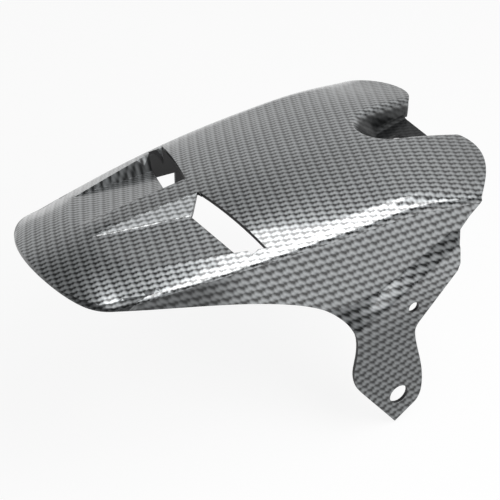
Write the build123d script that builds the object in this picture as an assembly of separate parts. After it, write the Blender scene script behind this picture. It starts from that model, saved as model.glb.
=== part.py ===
import os
from math import acos, asin, atan2, cos, radians, sin, sqrt, tan
from build123d import *

# Rear hugger mudguard, one moulded shell. Millimetres.
# +X runs to the front, +Y to the left, +Z up. The origin is the centre of the front tab's hole
# on the tab's upper face, and Y = 0 is the middle of the crown.

# Main sizes: tail to horns, across the flanks, tab down to the bracket's tip, and the wall.
length = 332.0
width = 169.6
drop = 174.6
wall = 2.5

# Crown along its length: one long arch that droops over the front.
arch_radius = 1260.0
arch_peak_x = -106.0
arch_peak_z = 24.0
droop_start = -30.0
droop_front = 4.0
front_x = 35.0
tail_x = front_x - length

# Shoulder crease that divides the crown from the flanks.
crease_radius = 1863.0
crease_peak_x = -85.0
crease_peak_z = 2.7
crease_lean = 80.0
shoulder_tail = 3.6
shoulder_front = 18.0
shoulder_start = 53.0
horn_soften = -0.09
front_turn_x = -43.0
front_turn_drop = 0.09
front_turn_splay = 0.10
tail_lift_x = tail_x + 42.0
tail_lift = 0.007

# Outline seen from above: two long bowed flanks, two tail corners and a flat bowed tail end.
flank_bow = 1160.0
flank_widest_x = -35.0
flank_half_width = width / 2
tail_end_bow = 92.0
tail_corner = 28.0

# Horns on both sides of the front pocket.
horn_half_span = 46.0
horn_inner = 24.6
horn_inner_x = 25.2
horn_side = flank_half_width - 14.8
horn_side_x = 25.2
horn_outer = flank_half_width + 3.2
horn_outer_x = 8.0
horn_low_z = -3.0

# Front pocket, its tab and the tab's hole.
pocket_round = 19.0
pocket_foot_x = -18.0
pocket_back_slope = 0.91
pocket_flare = 11.0
pocket_corner = 4.0
pocket_rim = 0.0295 * width
tab_front_x = 21.5
tab_hole = 13.5

# Vent windows and the sunk ramps that lead into them, given for the left side.
window_sweep = 13.8
window_front_x = tail_x + 122.7
window_tail_x = tail_x + 113.0
window_tail_slant = 0.296
window_inner = 18.0
window_outer = flank_half_width - 14.2
window_round = 7.5
ramp_tail_x = tail_x + 30.0
ramp_tail_lift = 1.7
ramp_tail_fall = 5.7
ramp_inner_tail = 6.0
ramp_outer_tail = flank_half_width - 39.4
ramp_inner_top = 8.6
ramp_inner_foot = 18.5
ramp_outer_foot = flank_half_width - 24.3
ramp_outer_lean = 1.04
ramp_inner_z = 11.0
ramp_outer_z = -1.5
ramp_corner = 4.0

# Stepped bracket on the right flank.
step_out = 8.6
step_depth = 7.0
step_bend = 9.0
crest_bend = 5.0
step_rear_x = -104.0
step_run = 36.0
step_middle_x = -58.0
step_front_x = -16.0
step_end_x = -3.0
crest_rear_z = -60.5
crest_middle_z = -46.6
crest_front_z = -15.0
foot_rear_z = -80.0
foot_middle_z = -57.6
foot_front_z = -34.0
bracket_waist_rear = -95.0
bracket_waist_front = -45.5
bracket_bulb_rear = -97.2
bracket_bulb_front = -36.0
bracket_tip_x = -58.4
bracket_tip_z = -drop
bracket_waist_z = bracket_tip_z + 84.6
bracket_bulb_z = bracket_tip_z + 62.6
upper_hole = 8.4
upper_hole_x = -48.4
upper_hole_z = bracket_waist_z + 18.4
lower_hole = 15.4
lower_hole_x = -56.4
lower_hole_z = bracket_tip_z + 25.3

# Left flank, shorter, with one step down.
left_step_x = -143.0
left_low_z = -45.0

# Reach of the blocks that the shell is cut from.
floor_z = -drop - 40.0
roof_z = 60.0
side_clear = flank_half_width + 45.0
front_clear = front_x + 35.0
tail_clear = tail_x - 28.0


def filled(*curves):
    return make_face([edge for curve in curves for edge in curve.edges()])


def crown_top(x):
    rise = arch_peak_z - arch_radius + sqrt(arch_radius**2 - (x - arch_peak_x) ** 2)
    ahead = max(0.0, x - droop_start) / (front_x - droop_start)
    return rise - droop_front * ahead**2


def crease_height(x):
    rise = crease_peak_z - crease_radius + sqrt(crease_radius**2 - (x - crease_peak_x) ** 2)
    rise = rise - front_turn_drop * max(0.0, x - front_turn_x)
    return rise + tail_lift * max(0.0, tail_lift_x - x) ** 2


def tail_corner_centre():
    end_x = tail_x + tail_end_bow
    side_y = flank_half_width - flank_bow
    reach_end = tail_end_bow - tail_corner
    reach_side = flank_bow - tail_corner
    span = sqrt((end_x - flank_widest_x) ** 2 + side_y**2)
    bearing = atan2(-side_y, end_x - flank_widest_x)
    opening = acos((span**2 + reach_side**2 - reach_end**2) / (2.0 * span * reach_side))
    centre_x = flank_widest_x + reach_side * cos(bearing + opening)
    centre_y = side_y + reach_side * sin(bearing + opening)
    return centre_x, centre_y


def flank_half(x):
    centre_x, centre_y = tail_corner_centre()
    bow = flank_half_width - flank_bow + sqrt(flank_bow**2 - (x - flank_widest_x) ** 2)
    if x >= centre_x:
        return bow + front_turn_splay * max(0.0, x - front_turn_x)
    turn_x = centre_x - 0.85 * tail_corner
    along = max(x, turn_x)
    corner = centre_y + sqrt(tail_corner**2 - (along - centre_x) ** 2)
    slope = 0.85 / sqrt(1.0 - 0.85**2)
    return min(bow, corner + slope * (x - along))


def shoulder_round(x):
    along = (x - tail_x - shoulder_start) / (length - shoulder_start)
    steady = shoulder_tail + (shoulder_front - shoulder_tail) * min(1.0, max(0.0, along))
    return steady + horn_soften * max(0.0, x - front_turn_x)


def crown_rounds(x):
    lean = radians(crease_lean)
    side = shoulder_round(x)
    side_y = flank_half(x) - side * sin(lean)
    side_z = crease_height(x) - side * cos(lean)
    rise = crown_top(x) - side_z
    top = (side_y**2 + rise**2 - side**2) / (2.0 * (rise - side))
    return top, side, side_y, side_z


def crown_section(x, inset):
    lean = radians(crease_lean)
    top, side, side_y, side_z = crown_rounds(x)
    turn = asin(side_y / (top - side))
    top_z = crown_top(x) - top
    top_length = top * turn
    length = top_length + side * (lean - turn)
    marks = (0.3, 0.55, 0.75, 0.86, 0.93, 1.0)
    left = []
    for mark in marks:
        reach = mark * length
        if reach < top_length:
            angle = reach / top
            left.append(((top - inset) * sin(angle), top_z + (top - inset) * cos(angle)))
        else:
            angle = turn + (reach - top_length) / side
            left.append((side_y + (side - inset) * sin(angle), side_z + (side - inset) * cos(angle)))
    right = [(x, -y, z) for y, z in reversed(left)]
    path = right + [(x, 0.0, crown_top(x) - inset)] + [(x, y, z) for y, z in left]
    pace = length * (side - inset) / side
    slopes = [(0, pace * cos(lean), pace * sin(lean)), (0, pace * cos(lean), -pace * sin(lean))]
    places = [1.0 - mark for mark in reversed(marks)] + [1.0] + [1.0 + mark for mark in marks]
    curve = Edge.make_spline(path, tangents=slopes, parameters=places, scale=False)
    low_left = (x, path[-1][1], floor_z)
    low_right = (x, path[0][1], floor_z)
    return filled(curve, Polyline(path[-1], low_left, low_right, path[0]))


def body(inset):
    stations = [tail_x + step for step in (-3, 3, 9, 15, 21, 27, 35, 47, 67, 97)]
    last = stations[-1]
    run = front_x + 10.0 - last
    stations = stations + [last + run * share for share in (0.16, 0.33, 0.49, 0.63, 0.755, 0.88, 1.0)]
    block = loft([crown_section(x, inset) for x in stations])
    end_x = tail_x + tail_end_bow
    tall = 3.0 * drop
    ring = Cylinder(tail_end_bow + length, tall) - Cylinder(tail_end_bow - inset, tall)
    behind = Pos(-length - 0.33 * tail_end_bow, 0, 0) * Box(2.0 * length, 2.0 * width, tall)
    return block - Pos(end_x, 0, 0) * (ring & behind)


def step_face(y, rear_z, middle_z, front_z):
    bend = ThreePointArc((step_rear_x, rear_z), (step_middle_x, middle_z), (step_front_x, front_z))
    low_z = floor_z - 20.0
    rest = Polyline(
        (step_front_x, front_z),
        (step_end_x, front_z),
        (step_end_x, low_z),
        (tail_x, low_z),
        (tail_x, rear_z),
        (step_rear_x, rear_z),
    )
    return Plane((0, y, 0), x_dir=(1, 0, 0), z_dir=(0, -1, 0)) * filled(bend, rest)


def bracket_block(inset):
    crest = (crest_rear_z, crest_middle_z, crest_front_z)
    foot = (foot_rear_z, foot_middle_z, foot_front_z)
    sink = 1.8 * inset
    deeper = step_depth / step_out
    out_heights = [low - (high - low) * -inset / step_out - sink for high, low in zip(crest, foot)]
    deep_heights = [high + (high - low) * deeper - sink for high, low in zip(crest, foot)]
    out_face = step_face(-flank_half_width - step_out + inset, *out_heights)
    deep_face = step_face(-flank_half_width + step_depth, *deep_heights)
    block = loft([deep_face, out_face], ruled=True)
    out_y = -flank_half_width - step_out + inset
    bends = [edge for edge in block.edges() if abs(edge.center().Y - out_y) < 0.01]
    bend = sorted(bends, key=lambda edge: edge.center().Z)[-2:]
    return fillet(bend, step_bend - inset)


def stepped(block, inset):
    joined = block + bracket_block(inset)
    crest = []
    for edge in joined.edges():
        middle = edge @ 0.5
        on_flank = abs(middle.Y + flank_half(middle.X) - inset) < 0.6
        beside_step = step_rear_x - step_run < middle.X < step_end_x
        if on_flank and beside_step and foot_rear_z < middle.Z < crest_front_z and edge.length > wall * 3:
            crest.append(edge)
    return fillet(crest, crest_bend + inset)


def ramp(inset):
    sweep = tan(radians(window_sweep))
    tail = []
    front = []
    tail_z = crown_top(ramp_tail_x) + ramp_tail_lift
    outer_tail_z = tail_z - ramp_tail_fall
    inner_top_z = crown_top(window_front_x) + 1.0
    spread = ramp_outer_lean * (roof_z - ramp_outer_z)
    rows = (
        (ramp_inner_tail - inset, tail_z + 20.0, ramp_inner_top - inset, roof_z),
        (ramp_inner_tail - inset, tail_z + 0.5, ramp_inner_top - inset, inner_top_z),
        (ramp_inner_tail + 1.0 - inset, tail_z - inset, ramp_inner_foot - inset, ramp_inner_z - inset),
        (ramp_outer_tail + inset, outer_tail_z - inset, ramp_outer_foot + inset, ramp_outer_z - inset),
        (ramp_outer_tail + 9.0 + inset, tail_z + 20.0, ramp_outer_foot + spread + inset, roof_z),
    )
    ahead = window_front_x - (1.0 if inset else 0.0)
    for tail_y, tail_height, front_y, front_height in rows:
        tail.append((ramp_tail_x + sweep * tail_y, tail_y, tail_height))
        front.append((ahead + sweep * front_y, front_y, front_height))
    tail_face = filled(Polyline(*tail, close=True))
    front_face = filled(Polyline(*front, close=True))
    block = loft([tail_face, front_face], ruled=True)
    feet = [edge for edge in block.edges() if edge.length > 60 and edge.center().Z < 14.5]
    foot = sorted(feet, key=lambda edge: abs(edge.center().Y))[0]
    return fillet(foot, ramp_corner + inset)


def pocket_outline(back_x, height, inset):
    flare = radians(pocket_flare)
    radius = pocket_round + inset
    centre = back_x + pocket_round
    touch_x = centre - radius * sin(flare)
    touch_y = radius * cos(flare)
    front_y = touch_y + (60.0 - touch_x) * tan(flare)
    start = (touch_x, touch_y)
    finish = (touch_x, -touch_y)
    back = ThreePointArc(start, (centre - radius, 0), finish)
    sides = Polyline(finish, (60.0, -front_y), (60.0, front_y), start)
    return Pos(0, 0, height) * filled(back, sides)


def pocket(inset):
    top_back = pocket_foot_x - pocket_back_slope * roof_z
    low = pocket_outline(pocket_foot_x, -inset, inset)
    high = pocket_outline(top_back, roof_z, inset)
    block = loft([low, high], ruled=True)
    floor_edges = block.faces().sort_by(Axis.Z)[0].edges().filter_by(lambda edge: edge.center().X < 55)
    return fillet(floor_edges, pocket_corner + inset)


def sunk(block, inset):
    hollow = block - pocket(inset)
    rim = []
    for edge in hollow.edges():
        middle = edge @ 0.5
        top = crown_rounds(middle.X)[0] - inset
        skin_z = crown_top(middle.X) - inset - top + sqrt(top**2 - middle.Y**2)
        if abs(middle.Z - skin_z) < 0.4 and abs(middle.Y) < 36 and -48 < middle.X < front_x + 9.0:
            rim.append(edge)
    return fillet(rim, pocket_rim - inset)


def tail_rim():
    top = crown_top(tail_x)
    side_x = tail_x + 35.0
    side_z = crease_height(side_x) - 1.8
    return Spline(
        (tail_clear, top + 7.5),
        (tail_x, top - 4.5),
        (tail_x + 9.0, top - 10.1),
        (side_x, side_z),
        tangents=[(1, -0.3), (1, -0.22)],
    )


def right_keep():
    rim = tail_rim()
    low = Spline(
        rim @ 1,
        (tail_x + 89.0, -19.0),
        (tail_x + 146.0, -36.0),
        (step_rear_x - 0.6, crest_rear_z - 3.7),
        (bracket_waist_rear, bracket_waist_z),
        tangents=[(1, -0.22), (0, -1)],
    )
    rear = Spline(
        low @ 1,
        (bracket_bulb_rear, bracket_bulb_z),
        (bracket_bulb_rear + 6.8, bracket_bulb_z - 20.0),
        tangents=[(0, -1), (0.6, -0.8)],
    )
    tip = Polyline(rear @ 1, (bracket_tip_x, bracket_tip_z), (bracket_tip_x + 16.2, bracket_tip_z + 10.8))
    front = Spline(
        tip @ 1,
        (bracket_bulb_front, bracket_bulb_z - 32.8),
        (bracket_bulb_front - 2.5, bracket_bulb_z - 14.3),
        (bracket_waist_front, bracket_waist_z - 6.8),
        (bracket_waist_front + 5.5, bracket_waist_z + 5.9),
        tangents=[(0.83, 0.55), (0.73, 0.69)],
    )
    rise = Polyline(
        front @ 1,
        (-11.5, -53.4),
        (-9.8, -47.8),
        (-11.2, -32.0),
        (-8.2, -22.0),
        (-1.4, -12.4),
        (horn_outer_x, horn_low_z),
        (front_clear, horn_low_z),
        (front_clear, roof_z),
        (tail_clear, roof_z),
        rim @ 0,
    )
    face = Plane.XZ * filled(rim, low, rear, tip, front, rise)
    return extrude(face, side_clear)


def left_keep():
    rim = tail_rim()
    step_z = left_low_z + 22.5
    low = Spline(rim @ 1, (tail_x + 89.0, -14.5), (left_step_x, step_z), tangents=[(1, -0.22), (1, -0.15)])
    rise = Polyline(
        low @ 1,
        (left_step_x, left_low_z),
        (horn_outer_x - 34.0, left_low_z),
        (horn_outer_x, horn_low_z),
        (front_clear, horn_low_z),
        (front_clear, roof_z),
        (tail_clear, roof_z),
        rim @ 0,
    )
    face = Plane.XZ * filled(rim, low, rise)
    return extrude(face, -side_clear)


def front_keep():
    right_horn = Spline(
        (horn_outer_x, -horn_outer),
        (horn_side_x, -horn_side),
        (front_x, -horn_half_span),
        (horn_inner_x, -horn_inner),
    )
    left_horn = mirror(right_horn, Plane.XZ)
    between = Polyline(
        (horn_inner_x, -horn_inner),
        (tab_front_x, -horn_inner),
        (tab_front_x, horn_inner),
        (horn_inner_x, horn_inner),
    )
    around = Polyline(
        (horn_outer_x, horn_outer),
        (horn_outer_x, side_clear),
        (tail_clear, side_clear),
        (tail_clear, -side_clear),
        (horn_outer_x, -side_clear),
        (horn_outer_x, -horn_outer),
    )
    face = Pos(0, 0, floor_z) * filled(right_horn, between, left_horn, around)
    return extrude(face, roof_z - floor_z)


def window():
    sweep = tan(radians(window_sweep))
    ahead = window_front_x - 0.5
    outline = Polyline(
        (window_tail_x, window_inner),
        (ahead - 0.5 + sweep * ramp_inner_top, ramp_inner_top),
        (ahead + sweep * (ramp_inner_top + 1.4), ramp_inner_top + 1.4),
        (ahead + sweep * window_outer, window_outer),
        (window_tail_x + window_tail_slant * (window_outer - window_inner), window_outer),
        close=True,
    )
    block = extrude(Pos(0, 0, -roof_z / 2) * filled(outline), 1.5 * roof_z)
    outer_corner = block.edges().filter_by(Axis.Z).sort_by(Axis.X)[-1]
    return fillet(outer_corner, window_round)


def side_bore(size, x, z):
    return Pos(x, -flank_half_width - step_out, z) * Rot(90, 0, 0) * Cylinder(size / 2, 12.0 * wall)


def shell():
    left_ramp = ramp(0.0)
    left_ramp_under = ramp(wall)
    ramped = body(0.0) - left_ramp - mirror(left_ramp, Plane.XZ)
    ramped_under = body(wall) - left_ramp_under - mirror(left_ramp_under, Plane.XZ)
    outer = stepped(sunk(ramped, 0.0), 0.0)
    inner = stepped(sunk(ramped_under, wall), wall)
    hollow = outer - inner
    piece = hollow & (right_keep() + left_keep()) & front_keep()
    left_window = window()
    piece = piece - left_window - mirror(left_window, Plane.XZ)
    tab_bore = Cylinder(tab_hole / 2, 12.0 * wall)
    return piece - tab_bore - side_bore(upper_hole, upper_hole_x, upper_hole_z) - side_bore(
        lower_hole, lower_hole_x, lower_hole_z
    )


hugger = shell()
os.makedirs("parts", exist_ok=True)
export_step(hugger, "parts/hugger_shell.step")
print(hugger.bounding_box(), "solids", len(hugger.solids()), "volume", hugger.volume)
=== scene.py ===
# %% [markdown]
# A rear hugger mudguard is one moulded shell that arches over the rear tyre.
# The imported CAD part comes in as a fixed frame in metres, with its origin at the
# hole of the front tab, +X to the front of the bike and +Z up. Everything below is
# built on that frame, so nothing has to be fitted by eye.

import math

import bmesh
import bpy
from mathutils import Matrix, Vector
from mathutils.bvhtree import BVHTree


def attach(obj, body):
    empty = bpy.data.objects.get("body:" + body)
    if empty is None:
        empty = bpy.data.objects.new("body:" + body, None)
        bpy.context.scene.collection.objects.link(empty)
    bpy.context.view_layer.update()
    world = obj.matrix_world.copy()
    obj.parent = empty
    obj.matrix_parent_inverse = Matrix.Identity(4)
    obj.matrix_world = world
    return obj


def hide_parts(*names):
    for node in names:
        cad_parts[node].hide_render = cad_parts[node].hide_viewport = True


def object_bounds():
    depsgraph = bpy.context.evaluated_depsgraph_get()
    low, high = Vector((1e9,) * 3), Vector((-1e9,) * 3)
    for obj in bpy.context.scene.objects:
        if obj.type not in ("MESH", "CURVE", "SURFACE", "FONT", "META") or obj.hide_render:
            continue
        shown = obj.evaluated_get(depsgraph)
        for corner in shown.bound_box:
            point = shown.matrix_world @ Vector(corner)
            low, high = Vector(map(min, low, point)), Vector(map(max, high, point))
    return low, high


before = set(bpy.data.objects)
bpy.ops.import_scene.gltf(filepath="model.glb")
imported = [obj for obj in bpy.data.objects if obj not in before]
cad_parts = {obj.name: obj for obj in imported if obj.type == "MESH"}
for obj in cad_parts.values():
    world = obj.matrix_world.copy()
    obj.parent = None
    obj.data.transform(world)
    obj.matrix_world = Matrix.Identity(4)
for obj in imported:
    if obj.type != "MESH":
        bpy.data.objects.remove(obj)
MM = 0.001
SHELL_NODE = "hugger_shell"
cad_box = [[float(value) for value in corner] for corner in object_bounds()]
print("CAD box in metres:", cad_box)

# %% [markdown]
# The shell's mesh arrives as loose triangles, and loose triangles can't share a
# smooth normal. The frame's own mesh must stay as it is, so the shell that shows is a
# copy whose doubled points are merged. Its shading is then smooth except along the
# creases and the cut edges. A gloss surface needs that: its reflections show every
# facet.

# %% A merged copy of the shell
MERGE_DISTANCE = 0.004 * MM
CREASE_ANGLE = math.radians(14)


def merged_copy(node, name):
    mesh = bmesh.new()
    mesh.from_mesh(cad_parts[node].data)
    bmesh.ops.remove_doubles(mesh, verts=mesh.verts, dist=MERGE_DISTANCE)
    bmesh.ops.dissolve_degenerate(mesh, edges=mesh.edges, dist=MERGE_DISTANCE)
    data = bpy.data.meshes.new(name)
    mesh.to_mesh(data)
    mesh.free()
    data.shade_smooth()
    data.set_sharp_from_angle(angle=CREASE_ANGLE)
    piece = bpy.data.objects.new(name, data)
    bpy.context.scene.collection.objects.link(piece)
    return piece


shell = merged_copy(SHELL_NODE, "moulded_shell")
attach(shell, "root")
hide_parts(SHELL_NODE)
print("shell copy:", len(shell.data.vertices), "points,", len(shell.data.polygons), "faces")

# %% [markdown]
# The carbon look is a printed film on the outside only: the inside and the cut edges
# show the plain black plastic. The faces could be picked by hand, but the shape gives
# them away. Faces that join without a sharp edge form a patch. A patch belongs to the
# skin if the wall behind it is thin, and to the outer skin if most of its area can see
# the open sky. On the sides the look at the sky leans outwards, past the overhang of
# the shoulder.

# %% Find the outer skin
PATCH_ANGLE = math.radians(20)
START_OFF = 0.05 * MM
SKY_REACH = 1.0
SKY_SHARE = 0.5
SIDE_START = 55 * MM
SIDE_LEAN = 0.7
WALL_LIMIT = 6 * MM
WALL_CAP = 50 * MM


def smooth_patches(mesh):
    left = set(mesh.faces)
    for first in mesh.faces:
        if first not in left:
            continue
        left.remove(first)
        patch, front = [], [first]
        while front:
            face = front.pop()
            patch.append(face)
            for edge in face.edges:
                joined = len(edge.link_faces) == 2
                if not joined or edge.calc_face_angle(math.pi) > PATCH_ANGLE:
                    continue
                for other in edge.link_faces:
                    if other in left:
                        left.remove(other)
                        front.append(other)
        yield patch


def wall_behind(tree, face):
    start = face.calc_center_median() - face.normal * START_OFF
    distance = tree.ray_cast(start, -face.normal, SKY_REACH)[3]
    return WALL_CAP if distance is None else min(distance, WALL_CAP)


def sees_sky(tree, face):
    centre = face.calc_center_median()
    lean = 0.0 if abs(centre.y) < SIDE_START else math.copysign(SIDE_LEAN, centre.y)
    start = centre + face.normal * START_OFF
    return tree.ray_cast(start, Vector((0, lean, 1)).normalized(), SKY_REACH)[0] is None


def is_outer_skin(tree, patch):
    area = sum(face.calc_area() for face in patch)
    wall = sum(face.calc_area() * wall_behind(tree, face) for face in patch)
    sky = sum(face.calc_area() for face in patch if sees_sky(tree, face))
    return area > 0 and wall < area * WALL_LIMIT and sky > area * SKY_SHARE


print("a wall under %.0f mm counts as skin" % (WALL_LIMIT / MM))

# %% [markdown]
# What was found is written on the faces as attributes, which a material can read and
# an export can bake. The steep walls of the two vent ramps are noted as well, because
# shade is painted into the film there and its lacquer is thinned.

# %% Mark the film and the ramp walls on the faces
STEEP_RISE = 0.85
RAMP_FRONT = -150 * MM
RAMP_SIDE = 64 * MM


def on_ramp_wall(face):
    centre = face.calc_center_median()
    in_ramp = centre.x < RAMP_FRONT and abs(centre.y) < RAMP_SIDE
    return in_ramp and face.normal.z < STEEP_RISE


def write_faces(piece, attribute, values):
    layer = piece.data.attributes.new(attribute, "FLOAT", "FACE")
    layer.data.foreach_set("value", values)


def mark_film(piece):
    mesh = bmesh.new()
    mesh.from_mesh(piece.data)
    tree = BVHTree.FromBMesh(mesh)
    film = [0.0] * len(mesh.faces)
    for patch in smooth_patches(mesh):
        if is_outer_skin(tree, patch):
            for face in patch:
                film[face.index] = 1.0
    ramp_wall = [value * on_ramp_wall(face) for value, face in zip(film, mesh.faces)]
    areas = [face.calc_area() for face in mesh.faces]
    mesh.free()
    write_faces(piece, "film", film)
    write_faces(piece, "ramp_wall", ramp_wall)
    return sum(area for area, value in zip(areas, film) if value), sum(areas)


printed_area, whole_area = mark_film(shell)
print("film covers %.0f of %.0f cm2" % (printed_area * 1e4, whole_area * 1e4))

# %% [markdown]
# Shader maths reads best as ordinary Python. One small class wraps a node's socket, and
# its operators add Math nodes; the reflected forms let 1 - mask work too. Any other node
# comes from one method that takes the node's type, its settings and its sockets. The
# node editor could do the same by hand, but a formula is easier to read and to mend.

# %% A small language for shader maths
class Value:
    def __init__(self, finish, socket):
        self.finish, self.socket = finish, socket

    def maths(self, operation, *others):
        return self.finish.node("ShaderNodeMath", {"operation": operation}, [self, *others])

    def __add__(self, other): return self.maths("ADD", other)
    __radd__ = __add__

    def __mul__(self, other): return self.maths("MULTIPLY", other)
    __rmul__ = __mul__

    def __sub__(self, other): return self.maths("SUBTRACT", other)

    def __rsub__(self, other): return self * -1.0 + other

    def __lt__(self, other): return self.maths("LESS_THAN", other)

    def __gt__(self, other): return self.maths("GREATER_THAN", other)

    def __abs__(self): return self.maths("ABSOLUTE")

    def squared(self): return self * self

    def at_least(self, low): return self.maths("MAXIMUM", low)

    def folded(self): return self.maths("WRAP", 0.5, -0.5)

    def rise(self, low, high):
        smooth = {"interpolation_type": "SMOOTHSTEP"}
        return self.finish.node("ShaderNodeMapRange", smooth, [self, low, high, 0.0, 1.0])


class Finish:
    def __init__(self, name, tree_owner=None):
        self.owner = tree_owner or bpy.data.materials.new(name)
        self.owner.use_nodes = True
        self.tree = self.owner.node_tree
        self.tree.nodes.clear()

    def node(self, kind, settings, sockets, output=0):
        made = self.tree.nodes.new(kind)
        for name, setting in settings.items():
            setattr(made, name, setting)
        pairs = sockets.items() if isinstance(sockets, dict) else enumerate(sockets)
        for key, given in pairs:
            if isinstance(given, Value):
                self.tree.links.new(given.socket, made.inputs[key])
            else:
                made.inputs[key].default_value = given
        return Value(self, made.outputs[output]) if len(made.outputs) else None

    def axes(self, place):
        kind = "ShaderNodeSeparateXYZ"
        return [self.node(kind, {}, [place], output=way) for way in "XYZ"]

    def attribute(self, name):
        return self.node("ShaderNodeAttribute", {"attribute_name": name}, [], output="Fac")

    def mixed(self, share, first, second):
        # a Mix node keeps its colours in sockets 6 and 7 and gives one from output 2
        sockets = {0: share, 6: first, 7: second}
        return self.node("ShaderNodeMix", {"data_type": "RGBA"}, sockets, output=2)


print("shader maths ready")

# %% [markdown]
# Where a point lies on the shell decides how the film runs there. The crown and the
# flanks meet at the shoulder crease, one long arch that dips at the horns and lifts at
# the tail. The crease is written here as a formula of x in millimetres, so the change
# from crown to flank hides in the real crease and no mask has to be painted.

# %% Crown or flank
CREASE_X, CREASE_Z = -85.0, 2.7
CREASE_BEND = 1 / 3726
HORN_X, HORN_SLOPE = -43.0, 0.09
TAIL_X, TAIL_LIFT = -255.0, 0.007
WIDEST_X, CROWN_HALF_WIDTH = -35.0, 79.0
SIDE_BEND = 1 / 2320
TAIL_ROUND_X = -266.0


def flank_mask(x, y, z):
    arch = CREASE_Z - CREASE_BEND * (x - CREASE_X).squared()
    horn_dip = HORN_SLOPE * (x - HORN_X).at_least(0.0)
    tail_lift = TAIL_LIFT * (TAIL_X - x).at_least(0.0).squared()
    below_crease = z < arch - horn_dip + tail_lift
    crown_edge = CROWN_HALF_WIDTH - SIDE_BEND * (x - WIDEST_X).squared()
    outside = (abs(y) > crown_edge).at_least(x < TAIL_ROUND_X)
    return below_crease * outside


print("crease peak: %.1f mm above the tab, at x %.0f mm" % (CREASE_Z, CREASE_X))

# %% [markdown]
# The ramps and the front pocket are sunk into the crown. How deep a point lies below
# the arch of the crown, had it been left whole, says how far down such a wall the film
# has come. The mesh could be unrolled for this, but the crown is a plain arch, so one
# formula does it.

# %% Depth below the crown
CROWN_X, CROWN_Z = -106.0, 24.0
CROWN_BEND_ALONG, CROWN_BEND_ACROSS = 1 / 2520, 1 / 500
DROOP_X, DROOP_RUN, DROOP_FALL = -30.0, 65.0, 4.0
POCKET_X, POCKET_HALF_WIDTH = -54.0, 42.0


def sunk_below_crown(x, y, z):
    droop = (x - DROOP_X).at_least(0.0) * (1 / DROOP_RUN)
    ridge = CROWN_Z - CROWN_BEND_ALONG * (x - CROWN_X).squared()
    crown = ridge - DROOP_FALL * droop.squared() - CROWN_BEND_ACROSS * y.squared()
    return (crown - z).at_least(0.0)


def front_pocket(x, y):
    return (x > POCKET_X) * (abs(y) < POCKET_HALF_WIDTH)


print("crown peak: %.1f mm above the tab, at x %.0f mm" % (CROWN_Z, CROWN_X))

# %% [markdown]
# The carbon look is a plain weave: bundles of fibre pass over and under each other, so
# each bundle is light where it rises and dark where it dives. Two counters follow the
# film, one for the rows and one for the steps along a row. The film was printed flat and
# drawn over the mould, so the rows stand further apart on the flanks, fan out on the
# bracket, turn round the tail, and keep their count down the walls of the ramps and the
# pocket and out along the slanted step. An image could carry the weave, but counters
# stay sharp. Each counter is a short list of turns per millimetre in each way.

# %% Rows and steps of the weave
CROWN_ROW = {"x": -0.066, "y": -0.25, "z": 0.05, "wall": 0.25, "wall_side": -0.05}
CROWN_STEP = {"x": 0.134, "y": -0.05, "z": 0.07}
FLANK_ROW = {"x": -0.005, "drop": 0.155, "fan": 0.043, "step_out": 0.08}
FLANK_STEP = {"x": 0.127, "drop": -0.092, "fan_drop": -0.02, "tail": -0.11,
              "step_out": -0.05}
BRACKET_Z, BRACKET_RUN = -40.0, 70.0
FAN_X = -60.0
TURN_X, TURN_RUN = -245.0, 30.0
STEP_HALF_WIDTH = 84.75


def film_ways(x, y, z):
    left = y > 0.0
    side = 2.0 * left - 1.0
    drop = side * z
    fan = (1.0 - left) * (BRACKET_Z - z).rise(0.0, BRACKET_RUN)
    wall_side = (2.0 * front_pocket(x, y) - 1.0) * sunk_below_crown(x, y, z)
    step_edge = STEP_HALF_WIDTH - SIDE_BEND * (x - WIDEST_X).squared()
    return {
        "x": x, "y": y, "z": z,
        "wall": side * wall_side,
        "wall_side": wall_side,
        "drop": drop,
        "fan": fan * (x - FAN_X),
        "fan_drop": fan * drop,
        "tail": (TURN_X - x).rise(0.0, TURN_RUN) * y,
        "step_out": (abs(y) - step_edge).at_least(0.0),
    }


def count(rates, ways):
    turns = 0.0
    for way, rate in rates.items():
        turns = ways[way] * rate + turns
    return turns


def weave_counters(x, y, z, flank):
    ways = film_ways(x, y, z)
    crown_row, crown_step = count(CROWN_ROW, ways), count(CROWN_STEP, ways)
    row = crown_row + (count(FLANK_ROW, ways) - crown_row) * flank
    step = crown_step + (count(FLANK_STEP, ways) - crown_step) * flank
    return row, step


print("on the crown: a row every %.1f mm across, a step every %.1f mm along"
      % (1 / abs(CROWN_ROW["y"]), 1 / CROWN_STEP["x"]))

# %% [markdown]
# One repeat of the weave has four soft spots: the bright top of a bundle that runs
# across and the dark gap where it dives, and the same two for a bundle that runs along.
# Each spot is a leaning ellipse in the counters, and folding a counter into half a turn
# each way makes it repeat. Spots are softer than squares, as the print is.

# %% Light and dark spots of one repeat
WEAVE_BASE = -0.05
WEAVE_SPOTS = (
    # strength, place and reach in rows and steps, lean
    (-0.39, (0.00, 0.00), (0.57, 0.45), 0.32),
    (+0.27, (0.41, 0.26), (0.57, 0.25), 0.20),
    (+0.47, (0.21, 0.79), (0.61, 0.47), 0.27),
    (-0.20, (0.66, 0.57), (0.60, 0.22), 0.27),
)


def weave_spot(row, step, place, reach, lean):
    down = (row - place[0]).folded()
    along = (step - place[1] + lean * down).folded()
    inside = 1.0 - down.squared() * (1 / reach[0] ** 2)
    inside = inside - along.squared() * (1 / reach[1] ** 2)
    return inside.at_least(0.0).squared()


def weave_shade(row, step):
    shade = WEAVE_BASE
    for strength, place, reach, lean in WEAVE_SPOTS:
        shade = strength * weave_spot(row, step, place, reach, lean) + shade
    return shade


print("weave spots:", len(WEAVE_SPOTS))
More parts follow.
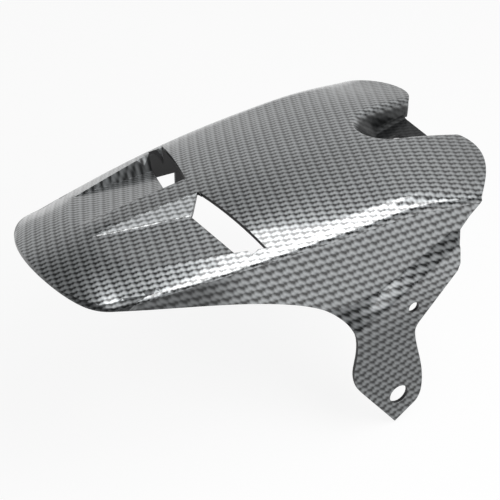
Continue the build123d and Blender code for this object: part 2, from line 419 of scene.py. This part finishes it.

# %% [markdown]
# The light ink is darkened here as painted shade: down the bracket, along the rear of
# the flanks and a little over the flanks, on the walls of the ramps and in the front
# pocket. On the horns it is made a little darker too. The lacquer is thinned in the sunk
# places, down the bracket, along the rear and on the flanks, which dulls the gloss. A few
# formulas give these places. Each list gives the share that is taken away.

# %% Painted shade in the ink, and how much lacquer is kept
# painted shade: the share of the light ink taken away in each place; the horns are only
# made darker
PAINTED_SHADE_SHARES = {"pocket": 0.92, "ramp_wall": 0.74, "bracket": 0.45, "rear": 0.65,
            "horn": 0.22, "flank": 0.12}
LACQUER_LOST = {"sunk": 0.85, "bracket_or_rear": 0.6, "flank": 0.3}
POCKET_DEPTHS = (1.0, 7.0)
THIN_BRACKET_RUN = 50.0
THIN_REAR_X, THIN_REAR_RUN = -165.0, 45.0
THIN_HORN_X, THIN_HORN_RUN = -20.0, 50.0


# where shade is painted into the ink, and where the lacquer is thinned
def painted_shade_places(x, y, z, flank, ramp_wall):
    pocket = sunk_below_crown(x, y, z).rise(*POCKET_DEPTHS) * front_pocket(x, y)
    bracket = flank * (BRACKET_Z - z).rise(0.0, THIN_BRACKET_RUN)
    rear = flank * (THIN_REAR_X - x).rise(0.0, THIN_REAR_RUN)
    return {
        "pocket": pocket, "ramp_wall": ramp_wall, "bracket": bracket, "rear": rear,
        "horn": (x - THIN_HORN_X).rise(0.0, THIN_HORN_RUN),
        "flank": flank,
        "sunk": pocket.at_least(ramp_wall),
        "bracket_or_rear": bracket.at_least(rear),
    }


def share_kept(lost, places):
    kept = 1.0
    for place, share in lost.items():
        kept = (1.0 - share * places[place]) * kept
    return kept


print("ink kept in the pocket: %.2f" % (1 - PAINTED_SHADE_SHARES["pocket"]))

# %% [markdown]
# The film itself is silver-grey ink under a clear gloss lacquer, which is why its light
# spots flash like metal. Inside, and on the cut edges, the bare black plastic shows,
# with the fine grain of the mould and no lacquer. One material does both: the film
# attribute says which of the two a face is. A Bevel node rounds the shading at the
# edges, as the thickness of the lacquer does.

# %% The carbon film and the bare plastic
INK_DARK = (0.012, 0.013, 0.0135, 1)
INK_LIGHT = (0.46, 0.48, 0.49, 1)
PLASTIC_BLACK = (0.010, 0.010, 0.011, 1)
SHADE_MIDDLE, SHADE_SPREAD = 0.45, 2.25
NOISE_MIDDLE = 0.5
MOTTLE = {"Scale": 900.0, "Detail": 2.0}
MOTTLE_SHADE, MOTTLE_ROUGH = 0.22, 0.10
PATCH = {"Scale": 60.0, "Detail": 1.0}
PATCH_SHADE = 0.10
GRAIN = {"Scale": 2600.0, "Detail": 2.0}
GRAIN_STRENGTH, GRAIN_DEPTH = 0.25, 0.1 * MM
EDGE_ROUND, EDGE_SAMPLES = 0.8 * MM, 4
INK_METAL = 0.8
PLASTIC_ROUGH, FILM_ROUGH = 0.52, 0.32
LACQUER_ROUGH, LACQUER_IOR = 0.12, 1.9


def noise(look, spot, sizes):
    return look.node("ShaderNodeTexNoise", {}, {"Vector": spot, **sizes})


def carbon_shell():
    look = Finish("carbon_film_shell")
    spot = look.node("ShaderNodeTexCoord", {}, [], output="Object")
    x, y, z = [axis * (1 / MM) for axis in look.axes(spot)]
    film = look.attribute("film")
    flank = flank_mask(x, y, z)
    mottle = noise(look, spot, MOTTLE) - NOISE_MIDDLE
    patch = noise(look, spot, PATCH) - NOISE_MIDDLE
    weave = SHADE_MIDDLE + SHADE_SPREAD * weave_shade(*weave_counters(x, y, z, flank))
    shade = weave + PATCH_SHADE * patch + MOTTLE_SHADE * mottle
    places = painted_shade_places(x, y, z, flank, look.attribute("ramp_wall"))
    # painted shade darkens the print's light ink here
    light = shade.at_least(0.0) * share_kept(PAINTED_SHADE_SHARES, places)
    ink = look.mixed(light, INK_DARK, INK_LIGHT)
    samples = {"samples": EDGE_SAMPLES}
    rounded = look.node("ShaderNodeBevel", samples, {"Radius": EDGE_ROUND})
    relief = look.node("ShaderNodeBump", {}, {
        "Strength": GRAIN_STRENGTH,
        "Distance": GRAIN_DEPTH,
        "Height": noise(look, spot, GRAIN) * (1.0 - film),
        "Normal": rounded,
    })
    rough = PLASTIC_ROUGH + (FILM_ROUGH - PLASTIC_ROUGH) * film
    shader = look.node("ShaderNodeBsdfPrincipled", {}, {
        "Base Color": look.mixed(film, PLASTIC_BLACK, ink),
        "Metallic": INK_METAL * film,
        "Roughness": rough + MOTTLE_ROUGH * mottle,
        "Coat Weight": film * share_kept(LACQUER_LOST, places),
        "Coat Roughness": LACQUER_ROUGH,
        "Coat IOR": LACQUER_IOR,
        "Normal": relief,
    })
    look.node("ShaderNodeOutputMaterial", {}, [shader])
    return look.owner


shell.data.materials.clear()
shell.data.materials.append(carbon_shell())
nodes_made = len(shell.data.materials[0].node_tree.nodes)
print("carbon film on", shell.name, "with", nodes_made, "nodes")

# %% [markdown]
# The view is from the rear right and above, as a parts catalogue shows a hugger. A long
# lens from 1.2 m keeps the near flank from looking larger than it is. The focal length
# is in pixels of the picture, and the sensor's width turns it into millimetres.

# %% Camera
CAMERA_AZIMUTH = math.radians(-31.34)
CAMERA_ELEVATION = math.radians(36.83)
CAMERA_DISTANCE = 1.2
CAMERA_REACH = 20
AIM = Vector((-126.5, 0, -50.5)) * MM
SENSOR_WIDTH, FOCAL_PIXELS, PICTURE_PIXELS = 36, 1680, 500


def aimed(item, place, target):
    item.location = place
    item.rotation_euler = (target - place).to_track_quat("-Z", "Y").to_euler()
    bpy.context.scene.collection.objects.link(item)
    return item


back = Vector((math.sin(CAMERA_AZIMUTH) * math.cos(CAMERA_ELEVATION),
               -math.cos(CAMERA_AZIMUTH) * math.cos(CAMERA_ELEVATION),
               math.sin(CAMERA_ELEVATION)))
lens = bpy.data.cameras.new("camera")
lens.lens = SENSOR_WIDTH * FOCAL_PIXELS / PICTURE_PIXELS
lens.clip_end = CAMERA_REACH
camera = aimed(bpy.data.objects.new("camera", lens), AIM + back * CAMERA_DISTANCE, AIM)
bpy.context.scene.camera = camera
print("camera at", [round(value, 4) for value in camera.location])

# %% [markdown]
# A plain pale floor lies under the shell and catches its shadow. It could be lit to
# white, but that would flood the shell with light, so the camera and the reflections see
# most of it as plain white and the rest as a lit floor, which keeps the shadow.

# %% Floor
FLOOR_GAP = 2 * MM
FLOOR_REACH = 6.0
FLOOR_PALE = (0.9, 0.9, 0.9, 1)
FLOOR_WHITE_SHARE = 0.90
WHITE = (1, 1, 1, 1)


def ray_flags(look):
    names = ("Is Camera Ray", "Is Glossy Ray", "Is Transmission Ray")
    return [look.node("ShaderNodeLightPath", {}, [], output=name) for name in names]


def floor_finish():
    look = Finish("pale_floor")
    lit = look.node("ShaderNodeBsdfDiffuse", {}, {"Color": FLOOR_PALE})
    white = look.node("ShaderNodeEmission", {}, {"Color": WHITE, "Strength": 1.0})
    seen, glossy, through = ray_flags(look)
    share = FLOOR_WHITE_SHARE * seen.at_least(glossy).at_least(through)
    both = look.node("ShaderNodeMixShader", {}, [share, lit, white])
    look.node("ShaderNodeOutputMaterial", {}, [both])
    return look.owner


def pale_floor(height):
    mesh = bmesh.new()
    bmesh.ops.create_grid(mesh, x_segments=1, y_segments=1, size=FLOOR_REACH)
    bmesh.ops.translate(mesh, verts=mesh.verts, vec=(0, 0, height))
    data = bpy.data.meshes.new("floor")
    mesh.to_mesh(data)
    mesh.free()
    data.materials.append(floor_finish())
    floor = bpy.data.objects.new("floor", data)
    bpy.context.scene.collection.objects.link(floor)
    return floor


pale_floor(cad_box[0][2] - FLOOR_GAP)
print("floor at %.1f mm" % ((cad_box[0][2] - FLOOR_GAP) / MM))

# %% [markdown]
# A gloss shell shows its surroundings, so the light is a pale tent and two softboxes.
# The tent is the world. The camera sees it white, and as a lamp it is weak. The lacquer
# mirrors it as grey cloth, with a darker roof and an opening on the right, so that the
# shell keeps its depth.

# %% Pale tent
TENT_LAMP = 0.15
TENT_ROOF = 0.12
TENT_SIDE = 0.62
ROOF_ENDS = (0.02, 0.5)
FRONT_STARTS = (0.15, 0.6)
OPENING_STARTS = (0.2, 0.75)
OPENING_DARK = 0.85


def pale_tent():
    world = bpy.data.worlds.new("studio")
    bpy.context.scene.world = world
    look = Finish("studio", world)
    way = look.node("ShaderNodeTexCoord", {}, [], output="Generated")
    ahead, left, height = look.axes(way)
    side = (1.0 - height).rise(*ROOF_ENDS).at_least(ahead.rise(*FRONT_STARTS))
    opening = (0.0 - left).rise(*OPENING_STARTS)
    cloth = TENT_ROOF + (TENT_SIDE - TENT_ROOF) * side
    mirrored = cloth * (1.0 - OPENING_DARK * opening)
    seen, glossy, through = ray_flags(look)
    white = (1 - TENT_LAMP) * seen.at_least(through)
    level = TENT_LAMP + white + glossy * (mirrored - TENT_LAMP)
    sky = look.node("ShaderNodeBackground", {}, {"Color": WHITE, "Strength": level})
    look.node("ShaderNodeOutputWorld", {}, [sky])
    return world


print("tent:", len(pale_tent().node_tree.nodes), "nodes")

# %% [markdown]
# One softbox stands over the right flank, in the place that the shoulder mirrors towards
# the camera, and draws the long bright band along it. The other hangs over the front,
# where the band fades out into the crown. A lamp's power in watts would change with its
# size, so each box is given the brightness of its cloth instead.

# %% Softboxes
SOFTBOX_AIM = Vector((-150, -70, 0)) * MM
SOFTBOX_DISTANCE = 1.3
SOFTBOXES = {
    "shoulder_softbox": {"way": (0.26, -0.66, 0.69), "size": (0.82, 1.15), "radiance": 5.4},
    "roof_softbox": {"way": (0.32, -0.16, 0.93), "size": (0.80, 0.60), "radiance": 4.4},
}


def softbox(name, way, size, radiance):
    lamp = bpy.data.lights.new(name, "AREA")
    lamp.shape = "RECTANGLE"
    lamp.size, lamp.size_y = size
    lamp.energy = radiance * math.pi * lamp.size * lamp.size_y
    place = SOFTBOX_AIM + Vector(way).normalized() * SOFTBOX_DISTANCE
    return aimed(bpy.data.objects.new(name, lamp), place, SOFTBOX_AIM)


for name, setup in SOFTBOXES.items():
    print("%s of %.1f W" % (name, softbox(name, **setup).data.energy))
bpy.context.scene.view_settings.view_transform = "Standard"
